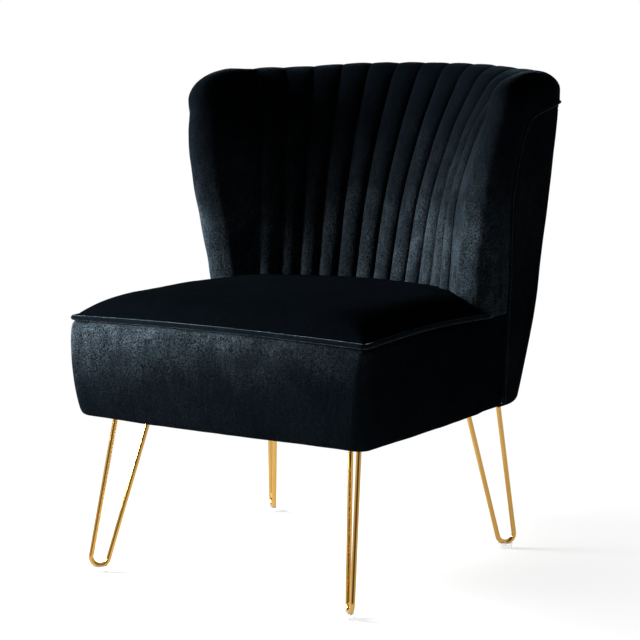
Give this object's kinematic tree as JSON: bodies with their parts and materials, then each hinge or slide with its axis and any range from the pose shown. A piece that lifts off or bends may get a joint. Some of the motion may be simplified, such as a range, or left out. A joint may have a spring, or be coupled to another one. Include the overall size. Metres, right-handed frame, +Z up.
{
  "type": "upholstered side chair",
  "caption": "Armless upholstered side chair with a wrapped channel-tufted back, crowned piped seat and bent-rod hairpin legs.",
  "frame": {"origin": "on the floor under the middle of the chair's width and depth", "axes": "+Z up, -Y towards the front of the seat, +X to the right seen from the front"},
  "size_m": [0.6378, 0.6518, 0.797],
  "materials": {
    "velvet": "crushed velvet, near black with a cool sheen",
    "velvet_welt": "velvet over cord",
    "brass_rod": "polished gold-coloured plating on steel",
    "clear_glide": "translucent plastic",
    "steel_fastener": "zinc plated",
    "timber": "sawn softwood",
    "plywood": "raw plywood",
    "hardboard": "smooth hardboard",
    "webbing": "elastic webbing",
    "foam": "polyurethane foam",
    "cambric": "thin non-woven cloth"
  },
  "bodies": {
    "root": {"back_bolts": "steel_fastener", "back_inserts": "steel_fastener", "back_liner": "hardboard", "back_post_left": "timber", "back_post_right": "timber", "back_rib_lower": "plywood", "back_rib_middle": "plywood", "back_rib_seat": "plywood", "back_rib_top": "plywood", "back_washers": "steel_fastener", "dust_cover": "cambric", "frame_screws": "steel_fastener", "glide_front_left": "clear_glide", "glide_front_right": "clear_glide", "glide_rear_left": "clear_glide", "glide_rear_right": "clear_glide", "inside_back": "velvet", "leg_block_front_left": "timber", "leg_block_front_right": "timber", "leg_block_rear_left": "timber", "leg_block_rear_right": "timber", "leg_front_left": "brass_rod", "leg_front_right": "brass_rod", "leg_plate_front_left": "brass_rod", "leg_plate_front_right": "brass_rod", "leg_plate_rear_left": "brass_rod", "leg_plate_rear_right": "brass_rod", "leg_rear_left": "brass_rod", "leg_rear_right": "brass_rod", "leg_screws": "steel_fastener", "outside_back": "velvet", "outside_back_welt": "velvet_welt", "seat_border": "velvet", "seat_foam": "foam", "seat_piping": "velvet_welt", "seat_rail_front": "timber", "seat_rail_left": "timber", "seat_rail_rear": "timber", "seat_rail_right": "timber", "seat_top": "velvet", "webbing_crosswise": "webbing", "webbing_lengthwise": "webbing", "wing_pad_left": "velvet", "wing_pad_right": "velvet", "wing_post_left": "timber", "wing_post_right": "timber"}
  },
  "joints": []
}
